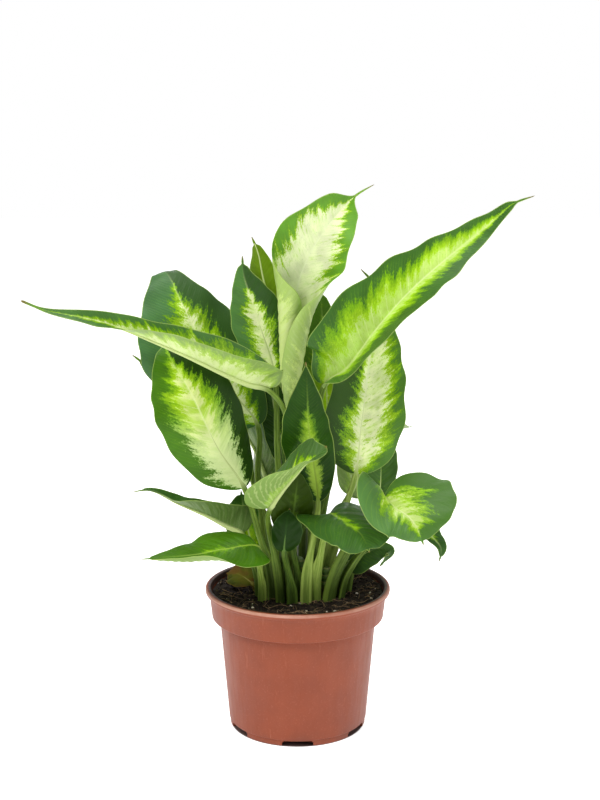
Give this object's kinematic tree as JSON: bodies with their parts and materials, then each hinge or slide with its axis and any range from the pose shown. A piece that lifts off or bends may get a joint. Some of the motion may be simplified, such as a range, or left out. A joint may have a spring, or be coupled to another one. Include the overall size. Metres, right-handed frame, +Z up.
{
  "type": "potted dieffenbachia",
  "caption": "Young bushy dieffenbachia with cream-centred, green-edged leaves on petioles from short canes, in a tapered terracotta-coloured plastic growers' pot with a rolled lip.",
  "frame": {"origin": "on the pot's axis, on its underside, in the plane that it stands on", "axes": "+Z up, the way the plant grows; +X to the right and -Y towards the camera in the picture"},
  "size_m": [0.315, 0.1583, 0.351],
  "materials": {
    "pot": "satin terracotta",
    "soil": "granular, matt",
    "cane": "smooth, with leaf scars",
    "leaf": "satin, cream centre and green margin",
    "old_leaf": "dull, withered"
  },
  "bodies": {
    "root": {"pot": "pot", "soil": "soil", "cane_left": "cane", "cane_centre": "cane", "cane_right": "cane", "leaf_crown": "leaf", "leaf_crown_back": "leaf", "leaf_centre_left": "leaf", "leaf_upper_left": "leaf", "leaf_far_left": "leaf", "leaf_long_left": "leaf", "leaf_middle_left": "leaf", "leaf_centre_dark": "leaf", "leaf_big_right": "leaf", "leaf_behind_right": "leaf", "leaf_centre_front": "leaf", "leaf_middle_right": "leaf", "leaf_front_folded": "leaf", "leaf_low_left_back": "leaf", "leaf_low_left_front": "leaf", "leaf_low_right": "leaf", "leaf_low_right_under": "leaf", "leaf_front_right": "leaf", "leaf_front_small": "leaf", "leaf_right_dark": "leaf", "leaf_right_grey": "leaf", "leaf_centre_olive": "leaf", "leaf_old": "old_leaf", "leaf_back_left": "leaf", "leaf_back": "leaf", "leaf_back_right": "leaf", "leaf_low_back": "leaf", "leaf_low_back_left": "leaf", "leaf_inner_back": "leaf"}
  },
  "joints": []
}
